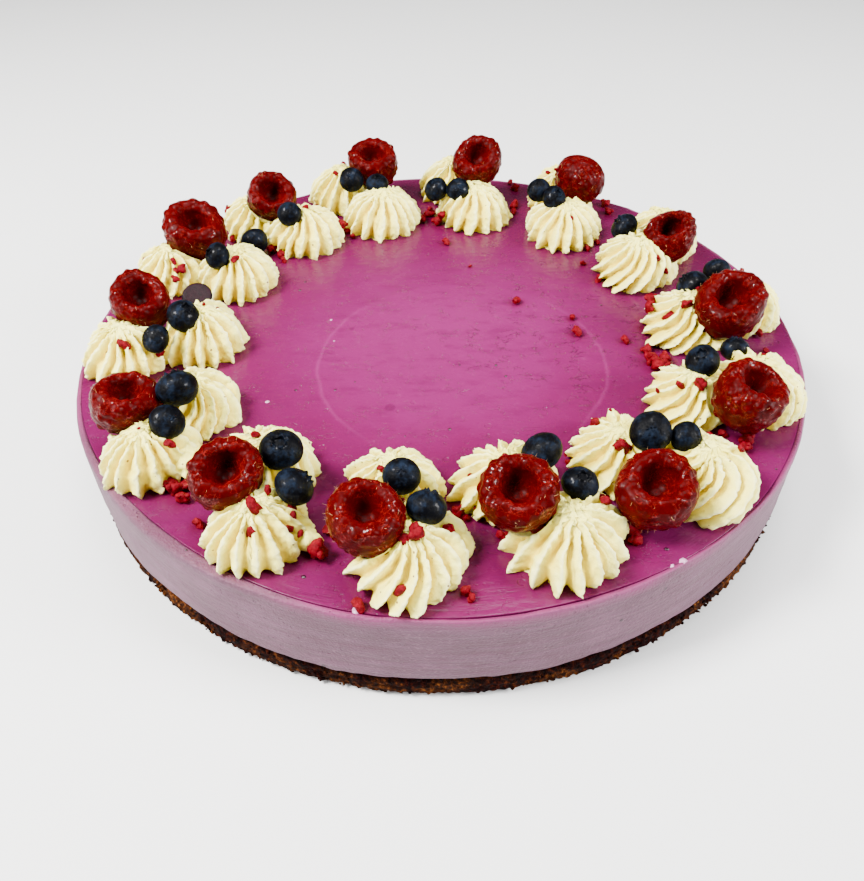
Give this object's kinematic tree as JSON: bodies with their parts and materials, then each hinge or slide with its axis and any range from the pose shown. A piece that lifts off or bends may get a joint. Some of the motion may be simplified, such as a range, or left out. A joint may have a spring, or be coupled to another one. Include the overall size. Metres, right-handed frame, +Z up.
{
  "type": "ube cheesecake",
  "caption": "Round uncut ube cheesecake: crumb base, pale lilac filling and glossy purple jelly top, ringed with piped cream rosettes, raspberries and blueberries.",
  "frame": {"origin": "centre of the round underside", "axes": "+Z up through the middle of the cake, -Y towards the near side, +X to the right"},
  "size_m": [0.24, 0.24, 0.0608],
  "materials": {
    "crumb": "dark pressed chocolate crumbs, matt and rough",
    "filling": "pale lilac set filling, satin, with fine drag marks",
    "jelly": "glossy purple jelly glaze",
    "cream": "ivory whipped cream, soft satin",
    "raspberry": "wet deep red raspberry skin",
    "blueberry": "dark blue skin with a pale bloom",
    "cut_blueberry": "moist purple-brown flesh of a cut blueberry"
  },
  "bodies": {
    "root": {"crumb_base": "crumb", "cheesecake_layer": "filling", "jelly_top": "jelly", "cream_pair_01": "cream", "cream_pair_02": "cream", "cream_pair_03": "cream", "cream_pair_04": "cream", "cream_pair_05": "cream", "cream_pair_06": "cream", "cream_pair_07": "cream", "cream_pair_08": "cream", "cream_pair_09": "cream", "cream_pair_10": "cream", "cream_pair_11": "cream", "cream_pair_12": "cream", "cream_pair_13": "cream", "cream_pair_14": "cream", "raspberry_01": "raspberry", "raspberry_02": "raspberry", "raspberry_03": "raspberry", "raspberry_04": "raspberry", "raspberry_05": "raspberry", "raspberry_06": "raspberry", "raspberry_07": "raspberry", "raspberry_08": "raspberry", "raspberry_09": "raspberry", "raspberry_10": "raspberry", "raspberry_11": "raspberry", "raspberry_12": "raspberry", "raspberry_13": "raspberry", "raspberry_14": "raspberry", "blueberry_01_1": "blueberry", "blueberry_01_2": "blueberry", "blueberry_02_1": "blueberry", "blueberry_02_2": "blueberry", "blueberry_03_1": "blueberry", "blueberry_03_2": "blueberry", "blueberry_04_1": "blueberry", "blueberry_04_2": "blueberry", "blueberry_05_1": "blueberry", "blueberry_05_2": "blueberry", "blueberry_06_1": "blueberry", "blueberry_06_2": "blueberry", "blueberry_07_1": "blueberry", "blueberry_08_1": "blueberry", "blueberry_08_2": "blueberry", "blueberry_09_1": "blueberry", "blueberry_09_2": "blueberry", "blueberry_10_1": "blueberry", "blueberry_10_2": "blueberry", "blueberry_11_1": "blueberry", "blueberry_11_2": "blueberry", "blueberry_12_1": "blueberry", "blueberry_13_1": "blueberry", "blueberry_13_2": "blueberry", "blueberry_14_1": "blueberry", "blueberry_14_2": "blueberry", "half_blueberry_13": "cut_blueberry"}
  },
  "joints": []
}
